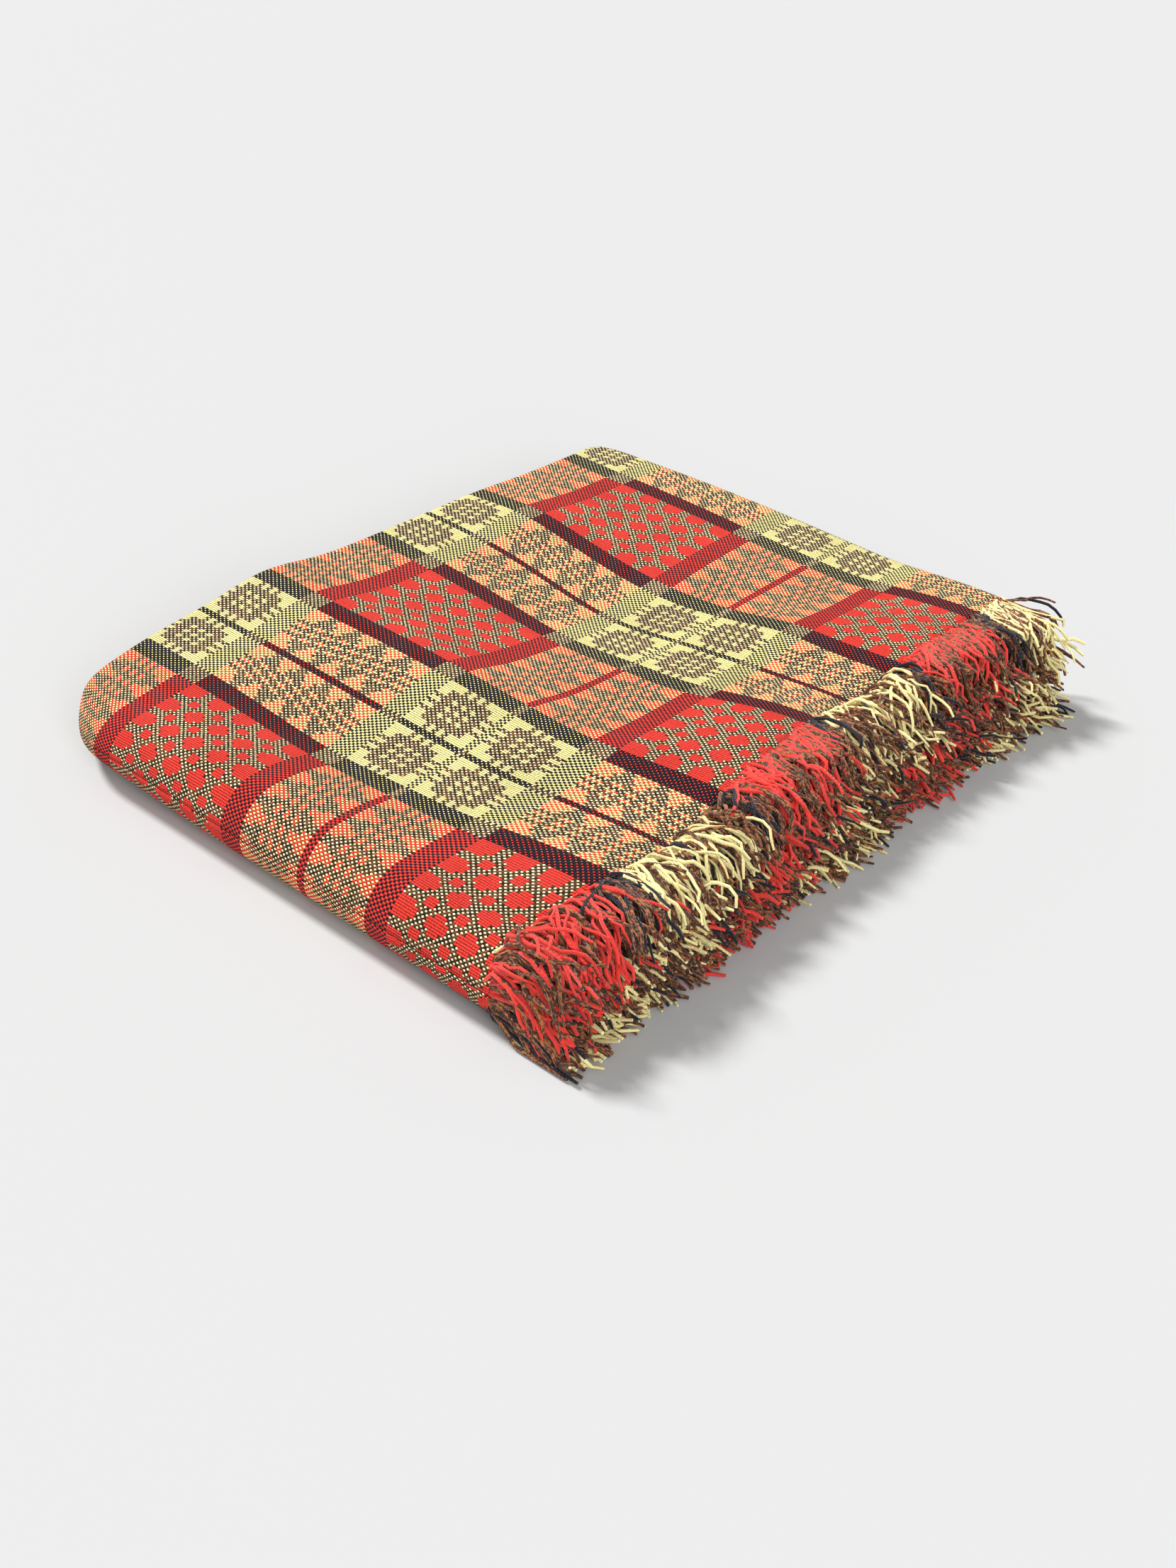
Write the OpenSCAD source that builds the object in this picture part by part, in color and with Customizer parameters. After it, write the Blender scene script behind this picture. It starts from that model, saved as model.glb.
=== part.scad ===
// A fringed, double-woven wool throw, folded in half four times and lying flat.
//
// +X is the way the warp runs: the woven ends and their fringe are at +X, and the
// cloth bends back at -X. +Y is across the warp: the last turn is at -Y, and the
// turn on the throw's centre line is at +Y. The origin is under the middle of the
// stack, on the surface that it lies on.
//
// The throw is first folded twice along its length, into a strip of four lengths
// (l1 to l4), and then twice across its width, into four widths (w1 to w4). From
// the top down, the stack is w2, w3, w4, w1, each with its four lengths. The last
// fold opens like a book: w2 and w3 lift off w4 and w1.

/* [Cloth] */
// Thickness of one layer of the double-woven cloth
cloth_t = 2.5; // [2:0.1:3.2]
// Air between one layer and the next
layer_gap = 0.35; // [0.3:0.05:0.6]
// Width of the woven selvedge along the throw's two long edges
selvedge_w = 7; // [4:1:14]

/* [Folded stack] */
// Length of the stack, from the outer bend to the woven ends
panel_len = 330; // [270:5:400]
// Width of the stack, from the last turn to the centre turn
stack_w = 490; // [400:5:600]
// How far the selvedges lie inside the centre turn
selvedge_inset = 5; // [0:1:20]

/* [Fringe] */
// How far the fringe reaches past the woven ends
fringe_reach = 58; // [35:1:80]
// Thickness of one row of fringe
fringe_t = 1.8; // [1.2:0.1:2]
// Rise from one row of fringe to the next at the tips
tip_rise = 2.3; // [2.1:0.05:2.6]
// Space kept behind the fringe rows that swing with the top packet
swing_gap = 1.8; // [1.6:0.1:2.4]

/* [Hidden] */
ROUND = 96;
WIDTHS = [1, 2, 3, 4];
// Lengths by their place in the folded strip, counted from its fringed face
LENGTHS = [1, 4, 3, 2];

pitch = cloth_t + layer_gap;
packet_t = 4 * pitch;
half_gap = layer_gap / 2;
// The last fold opens at this height
mid_z = 2 * packet_t - half_gap;

total_x = panel_len + fringe_reach;
edge_x = total_x / 2 - fringe_reach;
bend_x = -total_x / 2 + packet_t / 2 - half_gap;
last_turn_y = -stack_w / 2 + 2 * packet_t - half_gap;
centre_turn_y = stack_w / 2 - packet_t + half_gap;
selvedge_y = stack_w / 2 - selvedge_inset;

CLOTH = [0.86, 0.33, 0.24];
CLOTH_INNER = [0.93, 0.80, 0.45];
BEND = [0.45, 0.34, 0.24];
EDGE = [0.25, 0.20, 0.17];
FRINGE = [0.62, 0.38, 0.20];

// --- Where each width lies -------------------------------------------------

// Height of a strip's fringed face for each width, and whether that face is up
function face_z(w) = w == 2 ? mid_z + 2 * packet_t : w == 1 ? mid_z - 2 * packet_t : mid_z;
function face_up(w) = w == 2 || w == 4;
function end_y(w) = w == 2 || w == 3 ? centre_turn_y : selvedge_y - selvedge_w;

// --- Sections of the folded strip: x along the warp, y into the strip ------

module length_section(place) {
    last_x = place < 2 ? edge_x : edge_x - pitch;
    translate([bend_x, place * pitch + half_gap]) square([last_x - bend_x, cloth_t]);
}

// Half a ring of cloth that joins two layers; side is -1 at -X and 1 at +X
module ring_section(centre, middle_r, side) {
    translate(centre) intersection() {
        difference() {
            circle(r = middle_r + cloth_t / 2, $fn = ROUND);
            circle(r = middle_r - cloth_t / 2, $fn = ROUND);
        }
        translate([side > 0 ? 0 : -packet_t, -packet_t]) square([packet_t, 2 * packet_t]);
    }
}

module bend_section(kind) {
    if (kind == "mid") ring_section([edge_x - pitch, 3 * pitch], pitch / 2, 1);
    if (kind == "outer") ring_section([bend_x, 2 * pitch], 1.5 * pitch, -1);
    if (kind == "inner") ring_section([bend_x, 2 * pitch], pitch / 2, -1);
}

// --- Straight runs and turns -----------------------------------------------

// Runs a strip section along Y, from from_y to to_y, where width w lies
module run(w, from_y, to_y) {
    translate([0, to_y, face_z(w)])
        mirror([0, 0, face_up(w) ? 1 : 0])
            rotate([90, 0, 0])
                linear_extrude(to_y - from_y) children();
}

// Turns a strip section a quarter round the X axis line at [y, z], from the angle
// start. face_r is the radius of the strip's fringed face, and out is 1 if that
// face is the outer one.
module quarter_turn(y, z, start, face_r, out) {
    translate([0, y, z])
        rotate([90, 0, 90])
            rotate([0, 0, start])
                rotate_extrude(angle = 90, $fn = ROUND)
                    translate([face_r, 0])
                        mirror([out, 0])
                            mirror([1, -1]) children();
}

module centre_quarter(start) {
    quarter_turn(centre_turn_y, mid_z + packet_t, start, packet_t, 1) children();
}

// A quarter of the last turn, cut back from the plane where the throw opens
module last_quarter(w) {
    upper = w == 2 || w == 3;
    outer = w == 2 || w == 1;
    difference() {
        quarter_turn(last_turn_y, mid_z, upper ? 90 : 180, outer ? 2 * packet_t : 0, outer ? 1 : 0)
            children();
        translate([-total_x, -stack_w, mid_z - half_gap])
            cube([2 * total_x, stack_w, layer_gap]);
    }
}

// --- Sub-parts -------------------------------------------------------------

module panel(w, place) {
    color(place == 0 || place == 3 ? CLOTH : CLOTH_INNER)
        run(w, last_turn_y, end_y(w)) length_section(place);
}

// One bend of the length, along its width and round the turns next to it
module bend(w, kind) {
    color(BEND) {
        run(w, last_turn_y, w == 2 || w == 3 ? centre_turn_y : selvedge_y) bend_section(kind);
        last_quarter(w) bend_section(kind);
        if (w == 2) centre_quarter(0) bend_section(kind);
        if (w == 3) centre_quarter(-90) bend_section(kind);
    }
}

// The turn on the throw's centre line, one length at a time
module turn_centre(place) {
    color(CLOTH_INNER) {
        centre_quarter(0) length_section(place);
        centre_quarter(-90) length_section(place);
    }
}

// The last turn, as the four lengths of one width
module turn_last(w) {
    color(CLOTH) for (place = [0:3]) last_quarter(w) length_section(place);
}

module selvedge(w) {
    color(EDGE) for (place = [0:3])
        run(w, selvedge_y - selvedge_w, selvedge_y) length_section(place);
}

// Heights of a fringe row's root and tip; the rows lie on each other at the tips
function layer_z(w, place) = face_z(w) + (face_up(w) ? -1 : 1) * (place + 0.5) * pitch;
function tip_level(w, place) =
    w == 1 ? place : w == 4 ? 3 - place : w == 3 ? 4 + place : 7 - place;
function tip_z(w, place) = fringe_t / 2 + tip_rise * tip_level(w, place);

// A row of fringe, sloping from the woven end to the rows below it
module fringe(w, place) {
    root_x = edge_x + (w == 2 ? swing_gap : 0);
    root_z = layer_z(w, place);
    far_z = tip_z(w, place);
    color(FRINGE)
        translate([0, end_y(w), 0]) rotate([90, 0, 0]) linear_extrude(end_y(w) - last_turn_y)
            polygon([
                [root_x, root_z - fringe_t / 2], [total_x / 2, far_z - fringe_t / 2],
                [total_x / 2, far_z + fringe_t / 2], [root_x, root_z + fringe_t / 2]]);
}

for (w = WIDTHS, place = [0:3])
    panel(w, place);
for (w = WIDTHS, kind = ["mid", "outer", "inner"])
    bend(w, kind);
for (place = [0:3])
    turn_centre(place);
turn_last(2);  // turn_outer_upper
turn_last(1);  // turn_outer_lower
turn_last(3);  // turn_inner_upper
turn_last(4);  // turn_inner_lower
for (w = WIDTHS, place = [0, 1])
    fringe(w, place);
selvedge(1);  // selvedge_start
selvedge(4);  // selvedge_end
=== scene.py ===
import math

import bpy
import numpy as np
from mathutils import Matrix, Vector


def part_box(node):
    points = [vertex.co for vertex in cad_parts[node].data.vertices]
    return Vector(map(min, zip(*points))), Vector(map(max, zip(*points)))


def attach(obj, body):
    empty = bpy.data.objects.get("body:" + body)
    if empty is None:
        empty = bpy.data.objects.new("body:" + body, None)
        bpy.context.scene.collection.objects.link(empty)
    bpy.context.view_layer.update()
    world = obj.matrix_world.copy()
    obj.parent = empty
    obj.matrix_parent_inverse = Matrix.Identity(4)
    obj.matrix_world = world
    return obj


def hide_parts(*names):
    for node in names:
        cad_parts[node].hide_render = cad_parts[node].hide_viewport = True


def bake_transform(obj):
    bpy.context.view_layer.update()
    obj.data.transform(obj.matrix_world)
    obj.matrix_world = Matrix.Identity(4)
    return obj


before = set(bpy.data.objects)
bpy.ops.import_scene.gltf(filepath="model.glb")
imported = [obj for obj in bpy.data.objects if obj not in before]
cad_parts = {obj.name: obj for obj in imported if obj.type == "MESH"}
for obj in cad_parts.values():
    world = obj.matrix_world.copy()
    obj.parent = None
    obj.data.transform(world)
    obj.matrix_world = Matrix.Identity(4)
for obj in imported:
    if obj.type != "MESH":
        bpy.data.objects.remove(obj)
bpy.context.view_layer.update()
mm = 0.001


# ---------------------------------------------------------------------------
# The view: a hand-held camera above the corner where the rounded turn meets
# the fringe, tipped a little to its left, over a plain pale floor.

camera_place = (0.564, -0.790, 0.603)
camera_heading = math.radians(35.3)
camera_tilt = math.radians(33.5)
camera_roll = math.radians(7.1)
scene = bpy.context.scene
scene.view_settings.view_transform = "Standard"
camera_data = bpy.data.cameras.new("camera")
camera_data.lens = 44.9
camera_data.sensor_width = 36
camera = bpy.data.objects.new("camera", camera_data)
scene.collection.objects.link(camera)
camera.matrix_world = (
    Matrix.Translation(camera_place)
    @ Matrix.Rotation(camera_heading, 4, "Z")
    @ Matrix.Rotation(math.pi / 2 - camera_tilt, 4, "X")
    @ Matrix.Rotation(camera_roll, 4, "Z")
)
scene.camera = camera


class Wire:
    """One socket of a node tree. Sums written on wires add Math nodes to the tree."""

    def __init__(self, tree, socket=None):
        self.tree = tree
        self.socket = socket

    def node(self, kind, settings=None, sockets=None, out=0):
        made = self.tree.nodes.new(kind)
        for name, value in (settings or {}).items():
            if name == "stops":
                fill_ramp(made.color_ramp, value)
            else:
                setattr(made, name, value)
        for key, value in (sockets or {}).items():
            socket = find_socket(made.inputs, key)
            if isinstance(value, Wire):
                self.tree.links.new(value.socket, socket)
            else:
                socket.default_value = value
        return Wire(self.tree, find_socket(made.outputs, out))

    def port(self, name):
        return Wire(self.tree, find_socket(self.socket.node.outputs, name))

    def math(self, operation, *values):
        return self.node("ShaderNodeMath", {"operation": operation}, dict(enumerate(values)))

    def __add__(self, other):
        return self.math("ADD", self, other)

    def __radd__(self, other):
        return self.math("ADD", other, self)

    def __sub__(self, other):
        return self.math("SUBTRACT", self, other)

    def __rsub__(self, other):
        return self.math("SUBTRACT", other, self)

    def __mul__(self, other):
        return self.math("MULTIPLY", self, other)

    def __rmul__(self, other):
        return self.math("MULTIPLY", other, self)

    def __truediv__(self, other):
        return self.math("DIVIDE", self, other)

    def __pow__(self, other):
        return self.math("POWER", self, other)

    def floor(self):
        return self.math("FLOOR", self)

    def clamp(self, low=0.0, high=1.0):
        return self.math("MAXIMUM", self.math("MINIMUM", self, high), low)

    def mix(self, first, second):
        """The first colour where this wire is 0, and the second where it is 1."""
        sockets = {"Factor_Float": self, "A_Color": first, "B_Color": second}
        return self.node("ShaderNodeMix", {"data_type": "RGBA"}, sockets, "Result_Color")

    def dim(self, share):
        """This colour times a share from 0 to 1."""
        settings = {"data_type": "RGBA", "blend_type": "MULTIPLY"}
        grey = self.node("ShaderNodeCombineColor", None, {0: share, 1: share, 2: share})
        sockets = {"Factor_Float": 1.0, "A_Color": self, "B_Color": grey}
        return self.node("ShaderNodeMix", settings, sockets, "Result_Color")


def find_socket(sockets, key):
    if isinstance(key, int):
        return sockets[key]
    return next(s for s in sockets if key in (s.identifier, s.name))


def fill_ramp(ramp, stops):
    """Stops are (place, colour), each colour held until the next stop."""
    ramp.interpolation = "CONSTANT"
    while len(ramp.elements) > 1:
        ramp.elements.remove(ramp.elements[0])
    ramp.elements[0].position = stops[0][0]
    ramp.elements[0].color = stops[0][1]
    for place, colour in stops[1:]:
        ramp.elements.new(place).color = colour


def dye(red, green, blue):
    """A colour as the eye reads it from 0 to 255, in linear light."""
    def linear(c):
        c = c / 255
        return c / 12.92 if c <= 0.04045 else ((c + 0.055) / 1.055) ** 2.4
    return (linear(red), linear(green), linear(blue), 1.0)


def new_material(name):
    """A material with an empty tree, its shader and a wire to build on."""
    material = bpy.data.materials.new(name)
    material.use_nodes = True
    tree = material.node_tree
    shader = next(n for n in tree.nodes if n.type == "BSDF_PRINCIPLED")
    return material, shader, Wire(tree)


floor_material, floor_shader, wire = new_material("floor_paint")
mottle = wire.node("ShaderNodeTexNoise", None, {"Scale": 3.0, "Detail": 2.0}, "Fac")
floor_tint = mottle.mix(dye(187, 187, 187), dye(189, 189, 189))
wire.tree.links.new(floor_tint.socket, floor_shader.inputs["Base Color"])
floor_shader.inputs["Roughness"].default_value = 0.95
floor_shader.inputs["Specular IOR Level"].default_value = 0.1
floor_half = 6.0
floor_mesh = bpy.data.meshes.new("floor")
floor_corners = [(-1, -1), (1, -1), (1, 1), (-1, 1)]
floor_points = [(floor_half * x, floor_half * y, 0) for x, y in floor_corners]
floor_mesh.from_pydata(floor_points, [], [(0, 1, 2, 3)])
floor_mesh.materials.append(floor_material)
floor = bpy.data.objects.new("floor", floor_mesh)
scene.collection.objects.link(floor)

world = bpy.data.worlds.new("studio")
world.use_nodes = True
world.node_tree.nodes["Background"].inputs["Color"].default_value = (1.0, 1.0, 1.0, 1.0)
world.node_tree.nodes["Background"].inputs["Strength"].default_value = 0.33
scene.world = world


def far_light(name, towards, softness, strength):
    """A distant soft light that shines from the direction towards it."""
    data = bpy.data.lights.new(name, "SUN")
    data.angle = math.radians(softness)
    data.energy = strength
    lamp = bpy.data.objects.new(name, data)
    scene.collection.objects.link(lamp)
    lamp.rotation_euler = Vector(towards).to_track_quat("Z", "Y").to_euler()


far_light("key_light", (-0.9, -0.1, 1.0), 12, 4.3)
far_light("fringe_light", (1.0, -0.7, 0.7), 40, 2.3)


# ---------------------------------------------------------------------------
# The upper half of the folded throw: a woollen double cloth, woven as two plain
# webs that change places to make the blocks. It is folded twice along its length
# and then across, and this part is the two widths that lift when it is opened.

cloth_thick = 2.5 * mm
layer_pitch = 2.85 * mm
strip_thick = 4 * layer_pitch
top_panel_low, top_panel_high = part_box("panel_w2_l1")
woven_end_x = top_panel_high.x
last_turn_y = top_panel_low.y
centre_turn_y = top_panel_high.y
fold_z = 22.625 * mm
bend_x = -188.475 * mm
stack_low_x, stack_low_y, stack_high_y = -194 * mm, -245 * mm, 245 * mm
block = 95 * mm
check_along = 104.4 * mm
woven_end_block = 3.68
threads_per_block = 64.5


def along_warp(fine, coarse, bend):
    """The throw's four lengths in one line, from the woven end on top to the one below.

    The first run, each other run and each bend take as many steps as given. Gives each
    station's x, depth in the strip, the two parts of the direction that its face looks
    in, and the warp length up to it."""
    half_turn = np.arange(1, bend) / bend * math.pi
    x, depth, nx, nd = [], [], [], []

    def run(from_x, to_x, place, steps, face):
        for s in np.linspace(from_x, to_x, steps + 1):
            x.append(s)
            depth.append((place + 0.5) * layer_pitch)
            nx.append(0.0)
            nd.append(face)

    def turn(cx, level, radius, start, way, face):
        for a in half_turn:
            angle = start + way * a
            x.append(cx + radius * math.cos(angle))
            depth.append(level * layer_pitch + radius * math.sin(angle))
            nx.append(face * math.cos(angle))
            nd.append(face * math.sin(angle))

    mid_x = woven_end_x - layer_pitch
    run(woven_end_x, bend_x, 0, fine, -1.0)
    turn(bend_x, 2, 1.5 * layer_pitch, -math.pi / 2, -1, 1.0)
    run(bend_x, mid_x, 3, coarse, 1.0)
    turn(mid_x, 3, 0.5 * layer_pitch, math.pi / 2, -1, 1.0)
    run(mid_x, bend_x, 2, coarse, -1.0)
    turn(bend_x, 2, 0.5 * layer_pitch, math.pi / 2, 1, -1.0)
    run(bend_x, woven_end_x, 1, coarse, 1.0)
    x, depth = np.array(x), np.array(depth)
    length = np.concatenate([[0], np.cumsum(np.hypot(np.diff(x), np.diff(depth)))])
    return x, depth, np.array(nx), np.array(nd), length


def across_path(run_from, run_to, steps, z, depth_way):
    """Stations of a straight run across the throw: y, z and the way depth goes."""
    y = np.linspace(run_from, run_to, steps + 1)
    full = np.full_like(y, 1.0)
    return np.stack([y, z * full, 0 * full, depth_way * full], 1)


def turn_path(centre_y, centre_z, radius, depth_way, start, end, steps):
    """Stations of a turn: angle 0 is up and a quarter is towards the last turn."""
    a = np.linspace(start, end, steps + 1)
    out = np.stack([-np.sin(a), np.cos(a)], 1)
    base = np.array([centre_y, centre_z]) + radius * out
    return np.concatenate([base, depth_way * out], 1)


def join_paths(*paths):
    """One path from several that meet, with each meeting point kept once."""
    return np.concatenate([paths[0]] + [p[1:] for p in paths[1:]])


def rise_between(low, high, at):
    """0 up to low, 1 from high on, and a smooth rise between them."""
    share = np.clip((at - low) / (high - low), 0, 1)
    return share * share * (3 - 2 * share)


slack_most, slack_long, slack_wide = 12 * mm, 190 * mm, 140 * mm
gather_from_x, gather_share = 30 * mm, 0.75


def slack_edge(x, y):
    """How far the cloth next to the centre turn has slid outwards, beyond square."""
    along = np.clip((x - stack_low_x) / slack_long, 0, 1)
    out = np.clip((y - block) / slack_wide, 0, 1)
    gathered = 1 - gather_share * rise_between(gather_from_x, woven_end_x, x)
    return slack_most * along * (2 - along) * out * out * gathered


# Where the soft stack has swelled or sunk, in millimetres: the place, the height and the
# reach along and across the warp.
swells = (
    (-40, -81, 8.5, 150, 32),
    (-40, -176, -8, 70, 38),
    (-35, 58, -11, 60, 75),
    (65, 109, 7, 40, 34),
    (-144, 109, 5, 40, 35),
    (-185, -75, 4.5, 50, 42),
)

# The corners on the side away from the fringe: the end of the stack that each is at,
# which way is outwards there, and how round it is.
corners = ((stack_low_y, -1, 46 * mm), (stack_high_y, 1, 26 * mm))

# Where each ease of the cloth begins and ends along y, and how far it goes.
held_until_y, free_from_y = -222.2 * mm, -165 * mm
calm_y = (200 * mm, 240 * mm)
ripple_high = 0.7 * mm
wave_reach = 105 * mm
wave_middle, wave_swing, wave_sharp = 6.5 * mm, 6 * mm, 1.5 * mm
first_crest_y, last_crest_block = -212.4 * mm, 4.05
askew_y = (-210 * mm, 50 * mm)
askew_at_turn, askew_back = 9 * mm, 17 * mm
push_rises_to_y, push_fades_y = -125 * mm, (90 * mm, 215 * mm)
end_push = 14 * mm
edge_dent, dent_y, dent_wide, dent_long = 13 * mm, -262 * mm, 85 * mm, 330 * mm
sink_above, sink_below, sink_wide = 0.46, 0.3, (80 * mm, 75 * mm)


def drape(points):
    """Moves points by the cloth's ease: swells, waves at the woven end, round corners.

    Nothing up to held_until_y moves off the plane in which the throw opens."""
    x, y, z = points[:, 0].copy(), points[:, 1].copy(), points[:, 2].copy()
    for corner_y, side, radius in corners:
        a = np.clip((stack_low_x + radius - x) / radius, 0, 1)
        b = np.clip(side * (y - (corner_y - side * radius)) / radius, 0, 1)
        inside = (a > 0) & (b > 0)
        x = np.where(inside, x + radius * a * (1 - np.sqrt(1 - b * b / 2)), x)
        y = np.where(inside, y - side * radius * b * (1 - np.sqrt(1 - a * a / 2)), y)
    up_share = np.clip(z / (2 * fold_z), 0, 1.2)
    off_turn = rise_between(held_until_y, free_from_y, y)

    # Swells in the stack, and fine ripples over all of it.
    inner = 1 - rise_between(*calm_y, y)
    height = ripple_high * np.sin(x / (31 * mm) + 1.3) * np.sin(y / (43 * mm) + 0.4)
    for at_x, at_y, high, wide_x, wide_y in swells:
        far_x, far_y = (x / mm - at_x) / wide_x, (y / mm - at_y) / wide_y
        height = height + high * mm * np.exp(-far_x * far_x - far_y * far_y) * inner

    # The woven end rises at every second block, and is pushed askew.
    end = rise_between(woven_end_x - wave_reach, woven_end_x, x)
    blocks_over = np.minimum((y - first_crest_y) / block, last_crest_block)
    swing = np.cos(math.pi * blocks_over)
    wave = wave_middle + wave_swing * swing - wave_sharp * swing * swing
    height = height * (1 - end) + wave * end
    askew = (askew_at_turn - askew_back * rise_between(*askew_y, y)) * end * off_turn
    pushed = rise_between(held_until_y, push_rises_to_y, y)
    pushed = pushed * (1 - rise_between(*push_fades_y, y))

    # The corner by the last turn is dented inwards and lies flatter than the rest.
    back = np.clip((woven_end_x - x) / dent_long, 0, 1.1) ** 2.5
    dent = edge_dent * np.exp(-(((y - dent_y) / dent_wide) ** 2)) * back
    far_x, far_y = (x - stack_low_x) / sink_wide[0], (y - stack_low_y) / sink_wide[1]
    sunk = np.where(z > fold_z, sink_above, sink_below) * np.exp(-far_x * far_x - far_y * far_y)
    higher = height * off_turn * up_share ** 1.5 - (z - fold_z) * sunk
    aside = slack_edge(x, y) + end_push * pushed * end * up_share
    return np.stack([x + dent + askew * up_share, y + aside, z + higher], 1)


def slab_faces(rows, columns):
    """The faces of a closed slab: its face, its back and the four rims between them."""
    grid = np.arange(rows * columns).reshape(rows, columns)
    face = np.stack([grid[:-1, :-1], grid[1:, :-1], grid[1:, 1:], grid[:-1, 1:]], -1)
    face = face.reshape(-1, 4)
    rims = []
    for edge in (grid[0], grid[-1][::-1], grid[:, 0][::-1], grid[:, -1]):
        under = edge + rows * columns
        rims.append(np.stack([edge[:-1], edge[1:], under[1:], under[:-1]], -1))
    return face, face[:, ::-1] + rows * columns, np.concatenate(rims)


def slab_object(name, points, faces, threads):
    """A slab as an object. Both its sides carry the thread numbers as their UVs."""
    mesh = bpy.data.meshes.new(name)
    mesh.from_pydata(points.tolist(), [], faces.tolist())
    both = np.concatenate([threads.reshape(-1, 2)] * 2)
    corner = np.empty(len(mesh.loops), np.int32)
    mesh.loops.foreach_get("vertex_index", corner)
    uv = both[corner].astype(np.float32)
    mesh.uv_layers.new(name="threads").data.foreach_set("uv", uv.ravel())
    mesh.polygons.foreach_set("use_smooth", np.ones(len(faces), bool))
    slab = bpy.data.objects.new(name, mesh)
    scene.collection.objects.link(slab)
    return slab


def folded_sheet(name, path, across, warp):
    """A closed slab of cloth: the path across the throw by the line along its warp."""
    x, depth, nx, nd, length = warp
    rows, columns = len(path), len(x)
    sides = []
    for side in (1, -1):
        sx = x + side * nx * cloth_thick / 2
        sd = depth + side * nd * cloth_thick / 2
        points = np.empty((rows, columns, 3))
        points[..., 0] = sx[None, :]
        points[..., 1] = path[:, None, 0] + path[:, None, 2] * sd[None, :]
        points[..., 2] = path[:, None, 1] + path[:, None, 3] * sd[None, :]
        sides.append(drape(points.reshape(-1, 3)))

    # The slack carries the pattern with it, out to the centre turn and on past it.
    slack = slack_edge(x[None, :], path[:, None, 0])
    turned = np.arange(rows)[:, None] > np.argmax(path[:, 0])
    if turned.any():
        slack = np.where(turned, 2 * slack.max(axis=0)[None, :] - slack, slack)
    threads = np.empty((rows, columns, 2))
    threads[..., 0] = ((woven_end_block - length / check_along) * threads_per_block)[None, :]
    threads[..., 1] = (across[:, None] + slack) / block * threads_per_block

    face, back, rim = slab_faces(rows, columns)
    faces = np.concatenate([face, back, rim])
    sheet = slab_object(name, np.concatenate(sides), faces, threads)
    finish = np.repeat([0, 1, 0], [len(face), len(back), len(rim)])
    sheet.data.polygons.foreach_set("material_index", finish.astype(np.int32))
    sheet.data.update()
    return sheet


# Threads of half a repeat, from the middle of a red square to the middle of a yellow
# one: where each dye stops, and the draft, in which c, g and y are the blocks of the
# figure and k the solid bars.
red_until, dark_until, yellow_until = 28, 37, 63
draft = "c2 y2 g4 y2 c4 y2 g4 y2 c6 k9 c4 y4 g2 y2 g2 y2 g2 y4 c4 k1.5"
scarlet = dye(244, 62, 50)
pale_yellow = dye(253, 240, 160)
night_blue = dye(26, 22, 34)
marl_brown = dye(118, 76, 46)
marl_dark = dye(46, 32, 22)
cream = dye(240, 230, 184)
cream_dark = dye(214, 202, 150)
dyed = (
    (0, scarlet),
    (red_until, night_blue),
    (dark_until, pale_yellow),
    (yellow_until, night_blue),
)
ground_dot, face_dot, bar_dot = 0.19, 0.02, 0.125
dot_edge = 16
fuzz_per_thread = 1.4
worn_per_thread = 0.045


def draft_stops():
    """The draft as ramp stops: c in red, g in green, k in blue, y in none."""
    tones = {"c": (1, 0, 0, 1), "g": (0, 1, 0, 1), "k": (0, 0, 1, 1), "y": (0, 0, 0, 1)}
    stops, place = [], 0.0
    for word in draft.split():
        stops.append((place / threads_per_block, tones[word[0]]))
        place += float(word[1:])
    return stops


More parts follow.
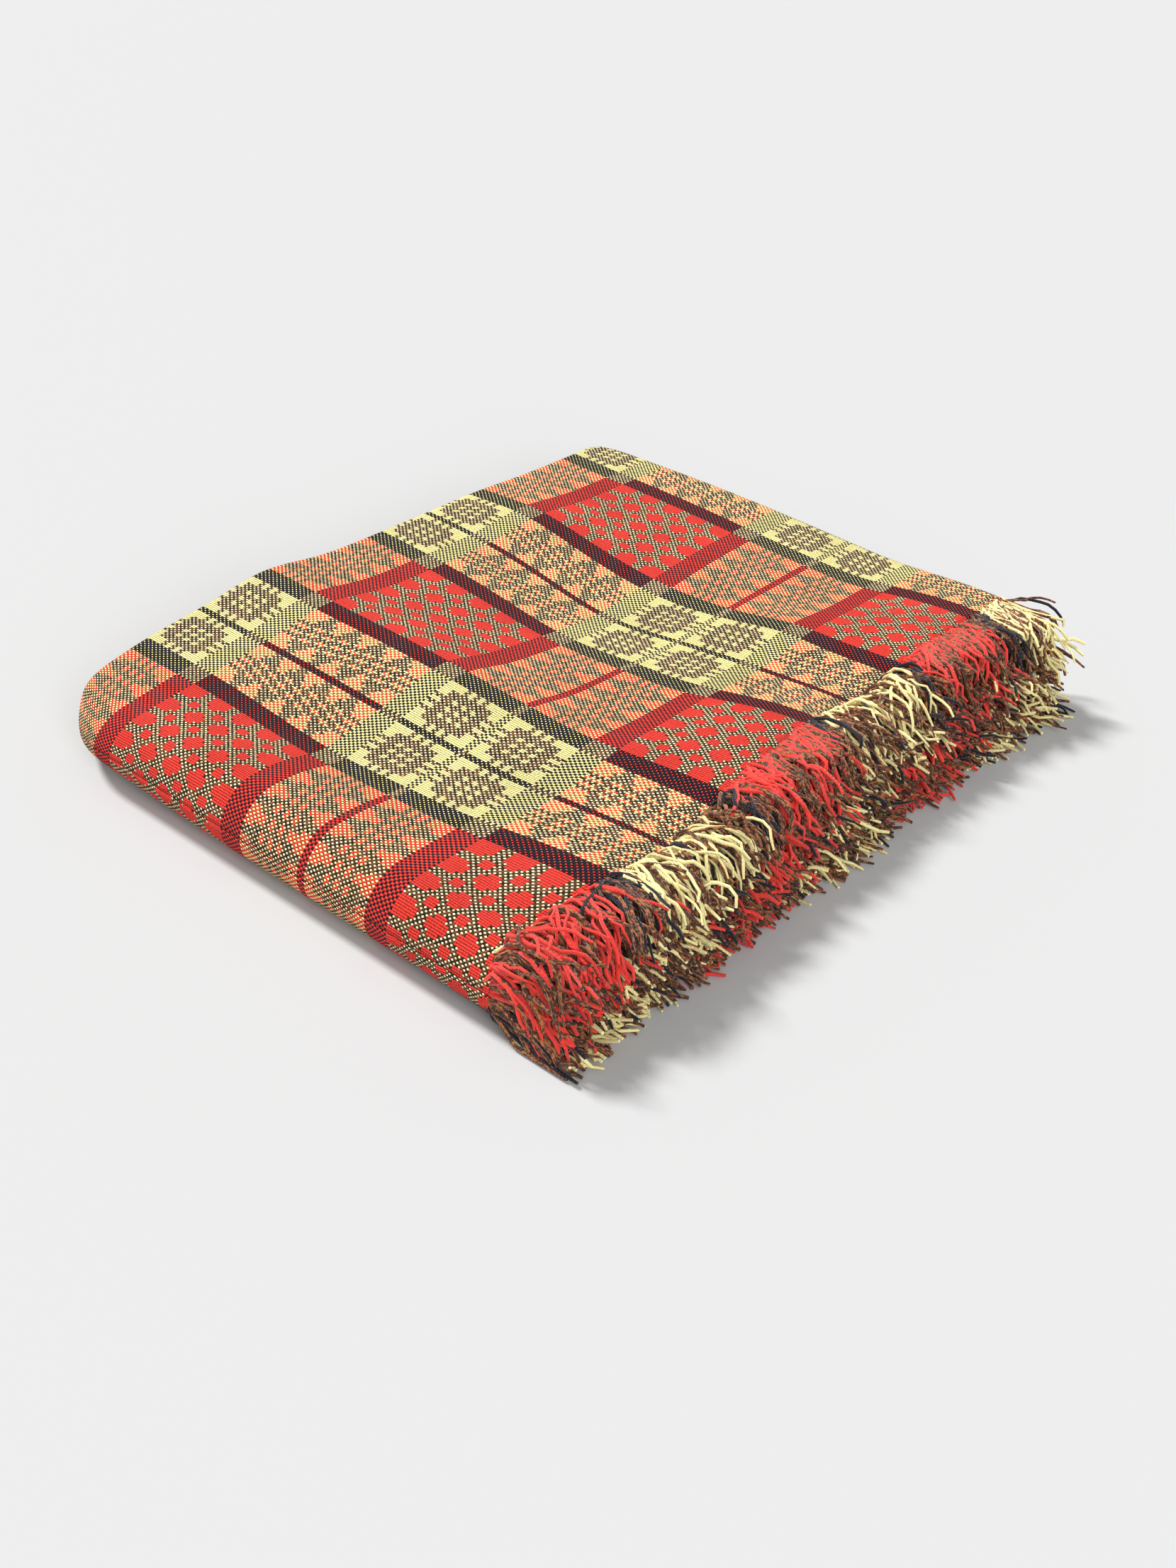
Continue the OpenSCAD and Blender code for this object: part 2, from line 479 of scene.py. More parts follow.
def woven_material(name, reverse):
    """The double cloth. Every thread is laid out: its colour, its crossings, its rise."""
    material, shader, wire = new_material(name)
    uv = wire.node("ShaderNodeUVMap", {"uv_map": "threads"})
    split = wire.node("ShaderNodeSeparateXYZ", None, {0: uv}, "X")
    weft_at = split - 1.5 * threads_per_block
    warp_at = split.port("Y") - 0.5 * threads_per_block
    weft_no, warp_no = weft_at.floor(), warp_at.floor()
    picks = []
    for number in (weft_no, warp_no):
        place = wire.math("PINGPONG", number + 0.5, threads_per_block) / threads_per_block
        kind = wire.node("ShaderNodeValToRGB", {"stops": draft_stops()}, {0: place}, "Color")
        parts = wire.node("ShaderNodeSeparateColor", None, {0: kind}, "Red")
        stops = [(threads / threads_per_block, colour) for threads, colour in dyed]
        colour = wire.node("ShaderNodeValToRGB", {"stops": stops}, {0: place}, "Color")
        c, g, k = parts, parts.port("Green"), parts.port("Blue")
        picks.append((c, g, k, 1 - (c + g + k), colour))
    (cu, gu, ku, yu, weft_face), (cv, gv, kv, yv, warp_face) = picks
    figure = (ku + kv - 2 * ku * kv) + cu * (cv + yv) + yu * cv + gu * gv
    shown = 1 - figure if reverse else figure

    # At every second crossing the weft shows, as a round dot over the warp. The dots
    # are smallest in the face's solid warp bars.
    weft_up = wire.math("PINGPONG", weft_no + warp_no, 1.0)
    across_weft = weft_at - weft_no - 0.5
    across_warp = warp_at - warp_no - 0.5
    from_middle = across_weft * across_weft + across_warp * across_warp
    dot_size = ground_dot + shown * (face_dot - bar_dot * kv + 0.05 * ku + 0.02 * yv)
    dot = ((dot_size - from_middle) * dot_edge + 0.5).clamp() * weft_up

    # Wool takes the dye unevenly: each thread has its own shade, and the marled ground
    # yarn changes along its length.
    def noise(vector, scale, detail):
        sockets = {"Vector": vector, "Scale": scale, "Detail": detail}
        return wire.node("ShaderNodeTexNoise", {"noise_dimensions": "2D"}, sockets, "Fac")

    def shade_of(thread):
        settings = {"noise_dimensions": "1D"}
        return wire.node("ShaderNodeTexWhiteNoise", settings, {"W": thread}, "Value")

    lay = wire.node("ShaderNodeCombineXYZ", None, {0: weft_at * 0.35, 1: warp_no * 3.7})
    marl = ((noise(lay, 1.6, 2.0) - 0.42) * 5).clamp()
    ground_warp = marl.mix(marl_dark, marl_brown)
    warp_colour = shown.mix(ground_warp, warp_face).dim(0.86 + 0.14 * shade_of(warp_no))
    ground_weft = shade_of(weft_no).mix(cream, cream_dark)
    weft_colour = shown.mix(ground_weft, weft_face)

    # Painted shade: each thread is darkened towards its sides and where it goes under
    # another, as shade falls there between the threads. The fuzz and worn noise vary its tone at
    # random.
    edge_warp = across_warp * across_warp * 4
    edge_dot = from_middle * 4.6
    warp_side_painted_shade = 0.9 * (1 - dot) * edge_warp * edge_warp
    dot_side_painted_shade = 0.45 * dot * edge_dot * edge_dot
    under_painted_shade = 0.36 * (1 - dot) * weft_up
    fuzz = noise(uv, fuzz_per_thread, 3.0)
    worn = noise(uv, worn_per_thread, 2.0)
    shade = (1 - warp_side_painted_shade - dot_side_painted_shade - under_painted_shade) * (0.12 + 1.4 * fuzz + 0.4 * worn)
    colour = dot.mix(warp_colour, weft_colour).dim(shade)
    crown = (1 - edge_warp) * (1 - 1.5 * across_weft * across_weft)
    warp_rise = (1 - dot) * crown * (1 - 0.55 * weft_up)
    rise = warp_rise + dot * (1 - edge_dot * 0.6) + 0.25 * fuzz
    sockets = {"Strength": 0.8, "Distance": 0.8 * mm, "Height": rise}
    bump = wire.node("ShaderNodeBump", None, sockets)
    rough = 0.82 + 0.14 * fuzz
    wire.tree.links.new(colour.socket, shader.inputs["Base Color"])
    wire.tree.links.new(rough.socket, shader.inputs["Roughness"])
    wire.tree.links.new(bump.socket, shader.inputs["Normal"])
    shader.inputs["Specular IOR Level"].default_value = 0.12
    shader.inputs["Sheen Weight"].default_value = 0.05
    shader.inputs["Sheen Roughness"].default_value = 0.45
    shader.inputs["Sheen Tint"].default_value = (1.0, 0.93, 0.85, 1.0)
    return material


cloth_materials = [woven_material("woven_face", False), woven_material("woven_reverse", True)]


def stack_sheet(name, path, across, warp, body):
    """A folded sheet in the throw's own cloth, riding on its half of the stack."""
    sheet = folded_sheet(name, path, across, warp)
    for material in cloth_materials:
        sheet.data.materials.append(material)
    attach(sheet, body)
    return sheet


def across_from(path, start, way):
    """Distance across the throw at each station, starting from a known one.

    It always grows a little, so that a place on the throw has one station."""
    least_step = 1e-9
    step = np.maximum(np.hypot(*np.diff(path[:, :2], axis=0).T), least_step)
    return start + way * np.concatenate([[0], np.cumsum(step)])


outer_radius = 2 * strip_thick
quarter = math.pi / 2
turn_steps, inner_turn_steps = 12, 4
top_steps, centre_steps, inner_steps = 90, 16, 70
cut_gap = 0.15 * mm
top_outer_turn = turn_path(last_turn_y, fold_z, outer_radius, -1, quarter, 0, turn_steps)
top_outer_turn[0, 1] += cut_gap
top_run = across_path(last_turn_y, centre_turn_y, top_steps, fold_z + outer_radius, -1)
centre_turn = turn_path(
    centre_turn_y, fold_z + strip_thick, strip_thick, -1, 0, -math.pi, centre_steps
)
inner_run = across_path(centre_turn_y, last_turn_y, inner_steps, fold_z, 1)
top_inner_turn = turn_path(last_turn_y, fold_z, 0, 1, 0, quarter, inner_turn_steps)
top_inner_turn[-1, 1] += cut_gap
upper_path = join_paths(top_outer_turn, top_run, centre_turn, inner_run, top_inner_turn)
fold_line_across = 13.4 * mm
inner_turn_across = np.linspace(0, outer_radius, inner_turn_steps + 1)
upper_across = across_from(upper_path, fold_line_across, 1)
upper_across[-inner_turn_steps:] = upper_across[-inner_turn_steps - 1] + inner_turn_across[1:]
upper_warp = along_warp(fine=66, coarse=24, bend=7)
upper_cloth = stack_sheet("upper_cloth", upper_path, upper_across, upper_warp, "upper_packet")
lengths = ("l1", "l2", "l3", "l4")
for width in ("w2", "w3"):
    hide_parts(*[f"panel_{width}_{n}" for n in lengths])
    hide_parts(*[f"bend_{n}_{width}" for n in ("outer", "mid", "inner")])
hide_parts(*[f"turn_centre_{n}" for n in lengths])
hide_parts("turn_outer_upper", "turn_inner_upper")


# ---------------------------------------------------------------------------
# The lower half: the throw's two outer widths, which stay on the table. They are
# the same cloth carried round the last turn, and end in the two woven selvedges.

selvedge_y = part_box("selvedge_end")[1].y
selvedge_wide = 7 * mm
cloth_end_y = selvedge_y - selvedge_wide
lower_warp = along_warp(fine=40, coarse=22, bend=7)
lower_steps = 80
under_outer_turn = turn_path(last_turn_y, fold_z, outer_radius, -1, quarter, math.pi, turn_steps)
under_outer_turn[0, 1] -= cut_gap
under_run = across_path(last_turn_y, cloth_end_y, lower_steps, fold_z - outer_radius, 1)
bottom_path = join_paths(under_outer_turn, under_run)[::-1]
bottom_across = across_from(bottom_path[::-1], fold_line_across, -1)[::-1]
bottom_cloth = stack_sheet("bottom_cloth", bottom_path, bottom_across, lower_warp, "lower_packet")

under_inner_turn = turn_path(last_turn_y, fold_z, 0, 1, quarter, math.pi, inner_turn_steps)
under_inner_turn[0, 1] -= cut_gap
middle_run = across_path(last_turn_y, cloth_end_y, lower_steps, fold_z, -1)
middle_path = join_paths(under_inner_turn, middle_run)
fold_across = upper_across[-1]
middle_across = fold_across + np.concatenate([
    inner_turn_across, inner_turn_across[-1] + middle_run[1:, 0] - last_turn_y
])
middle_cloth = stack_sheet("middle_cloth", middle_path, middle_across, lower_warp, "lower_packet")
for sheet, width in ((bottom_cloth, "w1"), (middle_cloth, "w4")):
    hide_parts(*[f"panel_{width}_{n}" for n in lengths])
    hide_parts(*[f"bend_{n}_{width}" for n in ("outer", "mid", "inner")])
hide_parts("turn_outer_lower")
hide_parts("turn_inner_lower")


# ---------------------------------------------------------------------------
# The cloth between the two innermost widths. While the throw is folded it lies
# doubled along the last turn, as it is built here; the real cloth opens flat across the fold with
# the throw.

lining_inside, lining_outside = 0.02 * mm, 0.12 * mm
lining_steps = 60
lining_x = np.linspace(woven_end_x, bend_x, lining_steps + 1)
lining_out = np.array([0.0, 0.33, 0.66, 0.985]) * outer_radius


def doubled(off_fold):
    """The lining's section: out along the lower half, and back along the upper one."""
    lower = [(last_turn_y - out, fold_z - off_fold) for out in lining_out]
    upper = [(last_turn_y - out, fold_z + off_fold) for out in lining_out[::-1]]
    return lower + upper


def fold_lining(name):
    """A thin closed strip, doubled on itself with its bend on the fold line."""
    rows, columns = 2 * len(lining_out), len(lining_x)
    points = []
    for section in (doubled(lining_inside), doubled(lining_outside)):
        points += [(x, y, z) for y, z in section for x in lining_x]
    from_fold = outer_radius - lining_out
    across = fold_across + np.concatenate([from_fold, -from_fold[::-1]])
    along = (woven_end_x - lining_x) / check_along
    threads = np.empty((rows, columns, 2))
    threads[..., 0] = ((woven_end_block - along) * threads_per_block)[None, :]
    threads[..., 1] = (across / block * threads_per_block)[:, None]
    faces = np.concatenate(slab_faces(rows, columns))[:, ::-1]
    strip = slab_object(name, drape(np.array(points)), faces, threads)
    strip.data.materials.append(cloth_materials[0])
    strip.data.update()
    return strip


lining = fold_lining("fold_lining")
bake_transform(lining)


# ---------------------------------------------------------------------------
# The selvedges: the throw's two long woven edges, where the weft turns back round
# packed dark warp ends. Both lie one above the other just inside the centre turn.

selvedge_brown = dye(58, 40, 30)
selvedge_blue = dye(36, 32, 46)
ribs_per_thread = 1.6


def selvedge_material(name):
    """Close ribs along the warp, crossed by the weft where it turns back."""
    material, shader, wire = new_material(name)
    uv = wire.node("ShaderNodeUVMap", {"uv_map": "threads"})
    pick_at = wire.node("ShaderNodeSeparateXYZ", None, {0: uv}, "X")
    rib_at = pick_at.port("Y") * ribs_per_thread
    rib_no, pick_no = rib_at.floor(), pick_at.floor()
    across_rib = rib_at - rib_no - 0.5
    across_pick = pick_at - pick_no - 0.5
    over = wire.math("PINGPONG", rib_no + pick_no, 1.0)
    tone = wire.math("PINGPONG", rib_no, 3.0) / 3
    sockets = {"Vector": uv, "Scale": 2.4, "Detail": 3.0}
    fuzz = wire.node("ShaderNodeTexNoise", {"noise_dimensions": "2D"}, sockets, "Fac")
    rib_curve, pick_curve = across_rib * across_rib, across_pick * across_pick
    # Painted shade: the ribs are darkened towards their sides and at the edges of every second
    # pick, as shade falls between the threads. The fuzz varies the tone at random.
    shade = (1 - 1.6 * rib_curve - 0.7 * over * pick_curve) * (0.7 + 0.5 * fuzz)
    colour = tone.mix(selvedge_brown, selvedge_blue).dim(shade)
    rise = (1 - 3 * rib_curve) * (1 - 1.4 * pick_curve) + 0.2 * fuzz
    sockets = {"Strength": 0.5, "Distance": 0.6 * mm, "Height": rise}
    bump = wire.node("ShaderNodeBump", None, sockets)
    wire.tree.links.new(colour.socket, shader.inputs["Base Color"])
    wire.tree.links.new(bump.socket, shader.inputs["Normal"])
    wire.tree.links.new((0.8 + 0.15 * fuzz).socket, shader.inputs["Roughness"])
    shader.inputs["Specular IOR Level"].default_value = 0.2
    shader.inputs["Sheen Weight"].default_value = 0.15
    return material


selvedge_finish = selvedge_material("selvedge_rib")
edge_steps = 3
bottom_edge_path = across_path(selvedge_y, cloth_end_y, edge_steps, fold_z - outer_radius, 1)
middle_edge_path = across_path(cloth_end_y, selvedge_y, edge_steps, fold_z, -1)
edges = (
    ("selvedge_start", bottom_edge_path, bottom_across[0] - selvedge_wide),
    ("selvedge_end", middle_edge_path, middle_across[-1]),
)
for name, path, start in edges:
    edge = folded_sheet(name + "_edge", path, across_from(path, start, 1), lower_warp)
    edge.data.materials.append(selvedge_finish)
    edge.data.materials.append(selvedge_finish)
    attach(edge, "lower_packet")
    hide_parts(name)


# ---------------------------------------------------------------------------
# The fringe: the warp ends left long past the weaving, in pairs of one dyed yarn
# from the face and one marled yarn from the ground. They hang in loose locks, in
# two rows to each width, and the top rows fall over the ones below.

warp_pitch = block / threads_per_block
yarn_radius = 0.92 * mm
yarn_points = 10
root_inside = 3 * mm
face_yarn_in, ground_yarn_out = -0.4 * mm, 0.5 * mm
highest_yarn = 55.2 * mm
locks_per_width = 1.7
longer_from_y, longer_over, longer_share = 185 * mm, 60 * mm, 0.22
gap_y, gap_wide = 62 * mm, 15 * mm
kept_in_y = 236 * mm
turn_from_y, turn_over = -215 * mm, 10 * mm
side_spread = 3.5 * mm


def fringe_roots(name, path, across, depth):
    """One vertex for each warp end, with what its yarn has to know."""
    at = np.arange(math.ceil(across.min() / warp_pitch), across.max() / warp_pitch, 0.5)
    place = at * warp_pitch
    way = 1 if across[-1] > across[0] else -1
    order = slice(None, None, way)
    base = np.stack([np.interp(place, across[order], path[order, k]) for k in range(4)], 1)
    ground = (at * 2).astype(int) % 2
    point = np.empty((len(place), 3))
    point[:, 0] = woven_end_x - root_inside
    deep = depth + np.where(ground == 1, ground_yarn_out, face_yarn_in)
    point[:, 1] = base[:, 0] + base[:, 2] * deep
    point[:, 2] = base[:, 1] + base[:, 3] * deep
    repeat = np.abs((place / block - 0.5 + 1) % 2 - 1) * threads_per_block
    until = [repeat < red_until, repeat < dark_until, repeat < yellow_until]
    kind = np.select(until, [0, 1, 2], 1)
    kind = np.where(ground == 1, 3, kind)
    mesh = bpy.data.meshes.new(name)
    mesh.from_pydata(drape(point).tolist(), [], [])
    side_on = np.abs(base[:, 2])
    for key, value in (("yarn_kind", kind), ("side_on", side_on)):
        data = mesh.attributes.new(key, "FLOAT", "POINT").data
        data.foreach_set("value", np.asarray(value, np.float32))
    return mesh


def fringe_tree():
    """Grows a bent, clumped yarn from every root and gives it a round section."""
    tree = bpy.data.node_groups.new("fringe_yarns", "GeometryNodeTree")
    face = tree.interface
    face.new_socket("Geometry", in_out="OUTPUT", socket_type="NodeSocketGeometry")
    face.new_socket("Geometry", in_out="INPUT", socket_type="NodeSocketGeometry")
    kinds = {"Points per yarn": "Int", "Seed": "Int", "Yarn material": "Material"}
    for name in (
        "Yarn length", "Length spread", "Tip height", "Height spread", "Lock width",
        "Lock sway", "Yarn radius", "Corner drop", "Lift", "Curl", "Stray share", "Gap",
        "Nearest side", "Farthest side",
    ):
        kinds[name] = "Float"
    for name, kind in kinds.items():
        face.new_socket(name, in_out="INPUT", socket_type="NodeSocket" + kind)
    entry = tree.nodes.new("NodeGroupInput")
    wire = Wire(tree, entry.outputs[0])

    def given(name):
        return Wire(tree, entry.outputs[name])

    def store(geometry, name, value, data_type):
        sockets = {"Geometry": geometry, "Name": name, "Value": value}
        settings = {"data_type": data_type, "domain": "POINT"}
        return wire.node("GeometryNodeStoreNamedAttribute", settings, sockets)

    def named(name, data_type):
        settings = {"data_type": data_type}
        return wire.node("GeometryNodeInputNamedAttribute", settings, {"Name": name})

    def chance(offset, low, high, who=None):
        seed = given("Seed") * 31 + offset
        sockets = {"Min_001": low, "Max_001": high, "ID": who or yarn_no, "Seed": seed}
        return wire.node("FunctionNodeRandomValue", {"data_type": "FLOAT"}, sockets, "Value_001")

    def lock_noise(across, along, layer):
        parts = {0: across, 1: along, 2: given("Seed") * 5.7 + layer}
        spot = wire.node("ShaderNodeCombineXYZ", None, parts)
        sockets = {"Vector": spot, "Scale": 1.0, "Detail": 1.5}
        return wire.node("ShaderNodeTexNoise", {"noise_dimensions": "3D"}, sockets) - 0.5

    # A line of points for every root, all still at the root.
    index = wire.node("GeometryNodeInputIndex")
    points = wire.node("GeometryNodeMeshToPoints", {"mode": "VERTICES"}, {"Mesh": wire})
    points = store(points, "yarn_no", index, "INT")
    copies = {"Geometry": points, "Amount": given("Points per yarn")}
    points = wire.node("GeometryNodeDuplicateElements", {"domain": "POINT"}, copies)
    points = store(points, "step_no", points.port("Duplicate Index"), "INT")
    yarn_no, step_no = named("yarn_no", "INT"), named("step_no", "INT")
    steps = given("Points per yarn") - 1
    along = step_no / steps
    position = wire.node("GeometryNodeInputPosition")
    root = wire.node("ShaderNodeSeparateXYZ", None, {0: position}, "X")
    root_y, root_z = root.port("Y"), root.port("Z")

    # Neighbours cling together in locks of uneven width.
    locks = root_y / given("Lock width")
    lock_at = locks * locks_per_width + 1.5 * lock_noise(locks * 0.5, 0.0, 21.3)
    lock_no = lock_at.floor()
    off_lock = lock_at - lock_no - 0.5

    # Each yarn's length and the height its tip comes down to. They are longer beside
    # the centre turn, and shorter where the row has a gap.
    uneven = chance(1, -1.0, 1.0) + 3 * lock_noise(locks * 0.7, 0.0, 3.1)
    length = given("Yarn length") * (1 + given("Length spread") * uneven)
    uneven = chance(2, -0.6, 0.6) + 4 * lock_noise(locks, 0.0, 9.4)
    tip = given("Tip height") + given("Height spread") * uneven
    tip = tip * (1 - given("Corner drop") * named("side_on", "FLOAT"))
    far_end = ((root_y - longer_from_y) / longer_over).clamp()
    from_gap = (root_y - gap_y) / gap_wide
    in_gap = wire.math("EXPONENT", -1 * from_gap * from_gap)
    length = length * chance(13, 0.9, 1.07, lock_no)
    length = length * (1 + longer_share * far_end - given("Gap") * in_gap)
    tip = tip + (root_z - tip) * 0.4 * far_end

    # The slope of the yarn as it goes: it lifts, falls over and crimps. A few stray.
    swelling = 1 + 7 * lock_noise(root_y / (30 * mm), 0.0, 12.3)
    lift = given("Lift") * swelling.clamp(0.0, 2.4)
    bend = 2.6 * ((root_z - tip) / length + 0.33 * lift)
    crimp = lock_noise(yarn_no * 7.77, along * 3.0, 1.7) * given("Curl") * 4
    is_stray = wire.math("LESS_THAN", chance(8, 0.0, 1.0), given("Stray share"))
    stray = is_stray * chance(9, -1.0, 1.0)
    before = 1 - along
    slope = bend * (along ** 1.3) - lift * before * before + crimp + chance(3, -0.1, 0.1)
    slope = slope - 0.5 * wire.math("ABSOLUTE", stray) + along * chance(11, -0.3, 0.3, lock_no)

    # Its heading: it sways with its lock, and less so at the two ends of the row.
    sway = given("Lock sway") * 5 * lock_noise(locks, along * 1.1, 4.9)
    crimp_side = lock_noise(yarn_no * 5.31, along * 3.0, 7.7) * given("Curl") * 5
    kept_in = (root_y / kept_in_y).clamp(0.0, 2.0) ** 9.0
    at_turn = ((turn_from_y - root_y) / turn_over).clamp()
    lock_heading = chance(12, -0.2, 0.2, lock_no) * along
    heading = sway * (along ** 0.6) + stray - 0.6 * off_lock + lock_heading
    heading = heading * (1 - 0.75 * at_turn)
    heading = heading + crimp_side + chance(4, -0.16, 0.16) - 0.36 * kept_in

    # The steps added up from the root, clear of the floor and inside the row's sides.
    flat = wire.math("COSINE", slope)
    stride = length / steps
    forward = stride * flat * wire.math("COSINE", heading)
    sideways = stride * flat * wire.math("SINE", heading)
    down = stride * wire.math("SINE", slope) * -1
    step = wire.node("ShaderNodeCombineXYZ", None, {0: forward, 1: sideways, 2: down})
    settings = {"data_type": "FLOAT_VECTOR", "domain": "POINT"}
    sockets = {0: step, "Group ID": yarn_no}
    reach = wire.node("GeometryNodeAccumulateField", settings, sockets, "Trailing")
    sockets = {"Geometry": points, "Offset": reach}
    points = wire.node("GeometryNodeSetPosition", None, sockets)
    position = wire.node("GeometryNodeInputPosition")
    now = wire.node("ShaderNodeSeparateXYZ", None, {0: position}, "X")
    lowest = given("Yarn radius") * (1.1 + chance(6, 0.0, 1.2))
    height = now.port("Z").clamp(lowest, highest_yarn)
    inside = chance(10, 0.0, side_spread)
    nearest, farthest = given("Nearest side") + inside, given("Farthest side") - inside
    aside = now.port("Y").clamp(nearest, farthest)
    spot = wire.node("ShaderNodeCombineXYZ", None, {0: now, 1: aside, 2: height})
    sockets = {"Geometry": points, "Position": spot}
    points = wire.node("GeometryNodeSetPosition", None, sockets)

    # What the yarn's material reads, and the round section swept along each line.
    points = store(points, "yarn_shade", chance(5, 0.0, 1.0), "FLOAT")
    points = store(points, "yarn_along", along * length, "FLOAT")
    thick = given("Yarn radius") * chance(7, 0.8, 1.3) * (1 - 0.3 * (along ** 8.0))
    points = store(points, "yarn_thick", thick, "FLOAT")
    sockets = {"Points": points, "Curve Group ID": yarn_no, "Weight": step_no}
    curves = wire.node("GeometryNodePointsToCurves", None, sockets)
    sockets = {"Resolution": 5, "Radius": 1.0}
    ring = wire.node("GeometryNodeCurvePrimitiveCircle", {"mode": "RADIUS"}, sockets)
    ring = store(ring, "yarn_round", wire.node("GeometryNodeSplineParameter"), "FLOAT")
    sockets = {"Curve": curves, "Radius": 1.0}
    curves = wire.node("GeometryNodeSetCurveRadius", None, sockets)
    sockets = {
        "Curve": curves, "Profile Curve": ring, "Scale": named("yarn_thick", "FLOAT"),
        "Fill Caps": True,
    }
    yarns = wire.node("GeometryNodeCurveToMesh", None, sockets)
    sockets = {"Geometry": yarns, "Shade Smooth": True}
    yarns = wire.node("GeometryNodeSetShadeSmooth", None, sockets)
    yarns = wire.node("GeometryNodeRealizeInstances", None, {"Geometry": yarns})
    sockets = {"Geometry": yarns, "Material": given("Yarn material")}
    yarns = wire.node("GeometryNodeSetMaterial", None, sockets)
    leave = tree.nodes.new("NodeGroupOutput")
    tree.links.new(yarns.socket, leave.inputs[0])
    return tree


ply_length = 4.2 * mm
yarn_yellow = dye(255, 240, 168)
yarn_marl_dark, yarn_marl_light = dye(72, 38, 22), dye(182, 112, 60)


def yarn_material(name):
    """Two-ply woollen yarn: plies that turn round each other, marled in the ground."""
    material, shader, wire = new_material(name)

    def carried(attribute):
        return wire.node("ShaderNodeAttribute", {"attribute_name": attribute}, None, "Fac")

    def noise(vector, scale):
        sockets = {"Vector": vector, "Scale": scale, "Detail": 2.0}
        return wire.node("ShaderNodeTexNoise", None, sockets, "Fac")

    kind, shade = carried("yarn_kind"), carried("yarn_shade")
    along, round_it = carried("yarn_along"), carried("yarn_round")
    turn = along / ply_length + round_it
    ply = wire.math("PINGPONG", turn * 2, 1.0)
    groove = (1 - wire.math("ABSOLUTE", ply - 0.5) * 2) ** 3
    stops = [(0.0, scarlet), (1 / 3, night_blue), (2 / 3, yarn_yellow)]
    place = (kind + 0.5) / 3
    colour = wire.node("ShaderNodeValToRGB", {"stops": stops}, {0: place}, "Color")
    parts = {0: along * 420, 1: shade * 91, 2: round_it * 2}
    fleck = noise(wire.node("ShaderNodeCombineXYZ", None, parts), 1.0)
    marl = ((fleck - 0.47) * 7).clamp()
    marled = wire.math("GREATER_THAN", kind, 2.5)
    colour = marled.mix(colour, marl.mix(yarn_marl_dark, yarn_marl_light))
    hair = noise(wire.node("ShaderNodeTexCoord", None, None, "Object"), 900.0)
    # Painted shade: the yarn is darkened in the grooves between its plies. The per-yarn shade and
    # the hair noise vary the tone at random.
    colour = colour.dim((0.8 + 0.2 * shade) * (0.84 + 0.3 * groove) * (0.85 + 0.5 * hair))
    sockets = {"Strength": 0.6, "Distance": 0.6 * mm, "Height": groove + 0.3 * hair}
    bump = wire.node("ShaderNodeBump", None, sockets)
    wire.tree.links.new(colour.socket, shader.inputs["Base Color"])
    wire.tree.links.new(bump.socket, shader.inputs["Normal"])
    wire.tree.links.new((0.78 + 0.15 * hair).socket, shader.inputs["Roughness"])
    shader.inputs["Specular IOR Level"].default_value = 0.25
    shader.inputs["Sheen Weight"].default_value = 0.2
    return material


fringe_finish = yarn_material("fringe_wool")
fringe_group = fringe_tree()


def fringe_row(name, path, across, depth, sizes):
    """Grows one row of fringe and returns it as a plain mesh."""
    root_points = fringe_roots(name + "_roots", path, across, depth)
    roots = bpy.data.objects.new(name + "_roots", root_points)
    scene.collection.objects.link(roots)
    grown = roots.modifiers.new("yarns", "NODES")
    grown.node_group = fringe_group
    sizes = {"Points per yarn": yarn_points, "Yarn material": fringe_finish, **sizes}
    for item in fringe_group.interface.items_tree:
        if item.in_out == "INPUT" and item.name in sizes:
            grown[item.identifier] = sizes[item.name]
    bpy.context.view_layer.update()
    ready = roots.evaluated_get(bpy.context.evaluated_depsgraph_get())
    mesh = bpy.data.meshes.new_from_object(ready)
    mesh.name = name
    bpy.data.objects.remove(roots)
    row = bpy.data.objects.new(name, mesh)
    scene.collection.objects.link(row)
    return row


to_centre = turn_steps + top_steps + centre_steps // 2 + 1
top_part, under_part = slice(0, to_centre), slice(to_centre, None)
top_line = (upper_path[top_part], upper_across[top_part])
under_line = (upper_path[under_part], upper_across[under_part])
middle_line, bottom_line = (middle_path, middle_across), (bottom_path, bottom_across)
face_depth, ground_depth = 0.5 * layer_pitch, 1.5 * layer_pitch

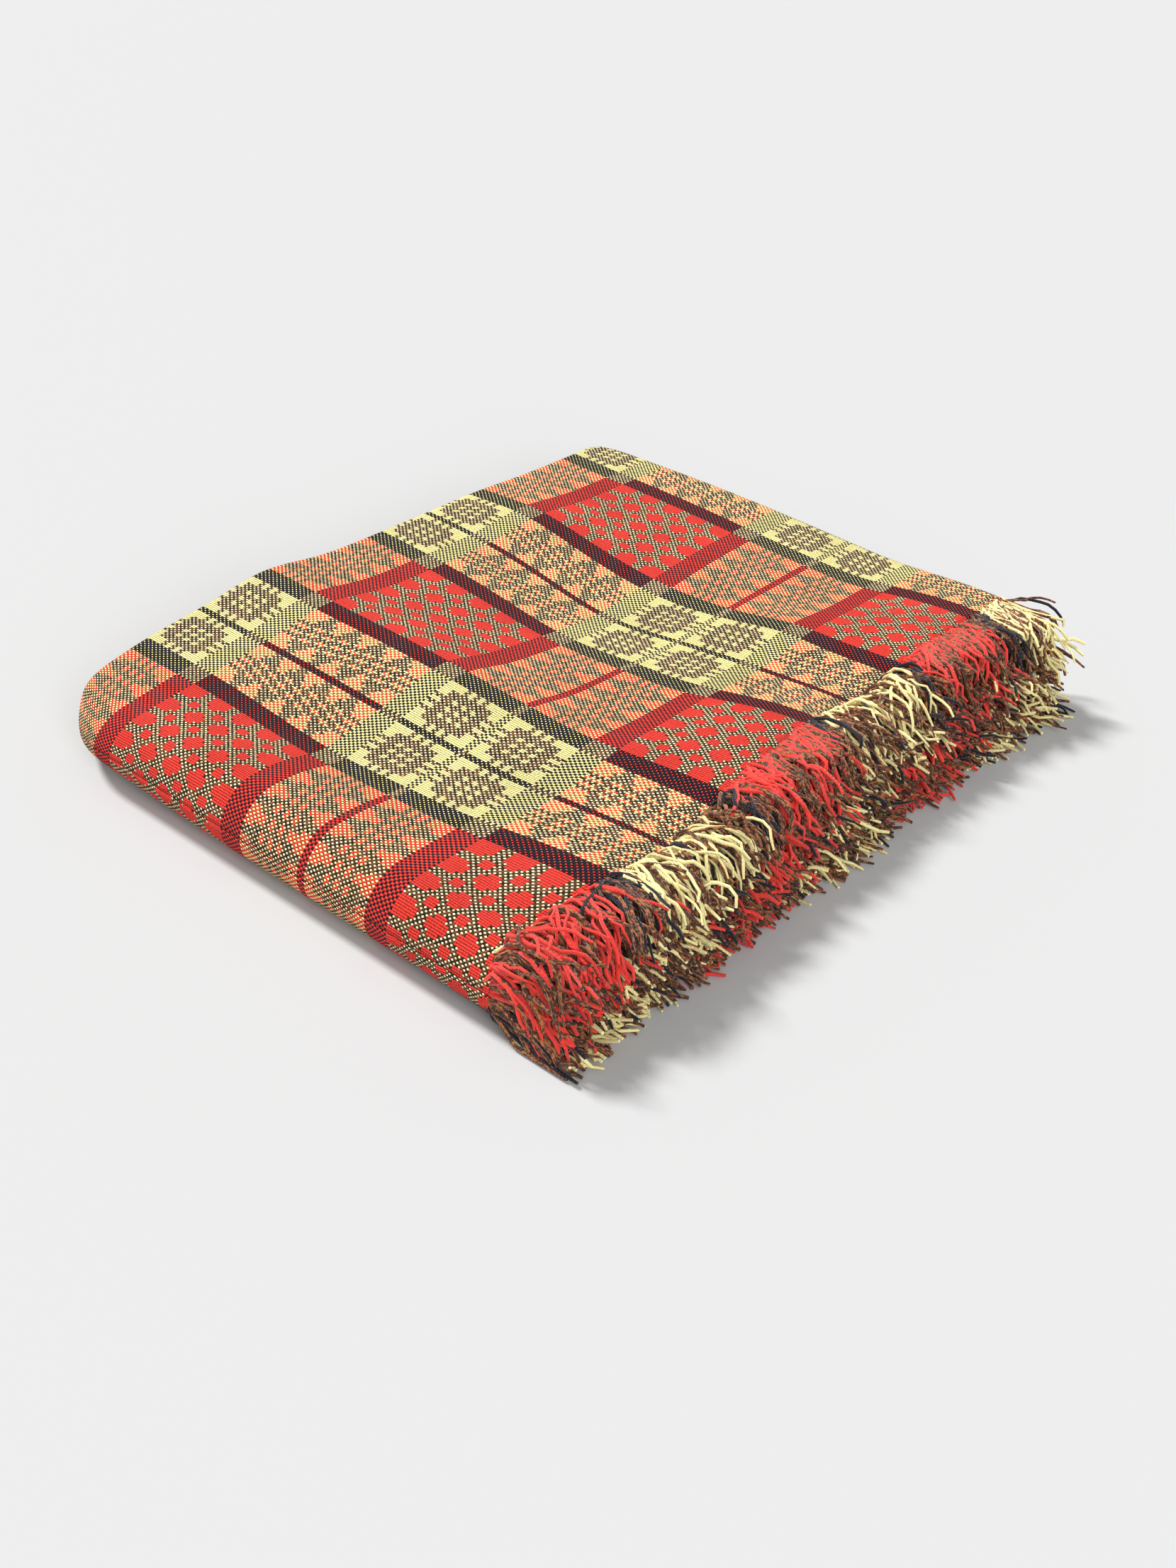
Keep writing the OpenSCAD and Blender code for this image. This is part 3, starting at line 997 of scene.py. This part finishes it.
# For each row: its line and its depth in the strip, and in millimetres its length, the
# height its tips come down to and how much that varies.
rows = (
    ("fringe_w1_l1", bottom_line, face_depth, 57, 1.2, 0.8),
    ("fringe_w1_l4", bottom_line, ground_depth, 56, 4.0, 1.5),
    ("fringe_w4_l4", middle_line, ground_depth, 53, 8.5, 2.5),
    ("fringe_w4_l1", middle_line, face_depth, 52, 12.5, 3.0),
    ("fringe_w3_l1", under_line, face_depth, 50, 16.5, 3.2),
    ("fringe_w3_l4", under_line, ground_depth, 48, 20.5, 3.5),
    ("fringe_w2_l4", top_line, ground_depth, 49, 24.0, 4.0),
    ("fringe_w2_l1", top_line, face_depth, 48, 27.0, 5.0),
)
outermost = ("fringe_w1_l1", "fringe_w2_l1")
for number, (node, (path, across), depth, length, tip, spread) in enumerate(rows):
    on_top = "w2" in node
    fringe = fringe_row(node + "_yarns", path, across, depth, {
        "Seed": 11 + number,
        "Yarn length": length * mm,
        "Length spread": 0.11,
        "Tip height": tip * mm,
        "Height spread": spread * mm,
        "Lock width": (26 if on_top else 17) * mm,
        "Lock sway": 0.62 if on_top else 0.6,
        "Corner drop": 0.75,
        "Lift": 0.38 if on_top else 0.08,
        "Curl": 0.8,
        "Stray share": 0.05 if on_top else 0.03,
        "Nearest side": (-243.7 if node in outermost else -239) * mm,
        "Farthest side": 266 * mm,
        "Gap": 0.0 if on_top else 0.24,
        "Yarn radius": yarn_radius * (1 if on_top else 1.15),
    })
    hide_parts(node)
    if on_top:
        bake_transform(fringe)
    else:
        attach(fringe, "upper_packet" if "w3" in node else "lower_packet")


# ---------------------------------------------------------------------------
# Each sheet's own size before folding.

warp_long = float(upper_warp[-1][-1])
for sheet, across, resting, widths in (
    (upper_cloth, upper_across, [middle_cloth], ("w2", "w3")),
    (middle_cloth, middle_across, [bottom_cloth], ("w4",)),
    (bottom_cloth, bottom_across, [], ("w1",)),
):
    flat = (float(abs(across[-1] - across[0])), warp_long)
flat = (2 * outer_radius, woven_end_x - bend_x)
narrowest_flat = 0.01
for name, cloth in (("selvedge_start", bottom_cloth), ("selvedge_end", middle_cloth)):
    flat = (narrowest_flat, warp_long)
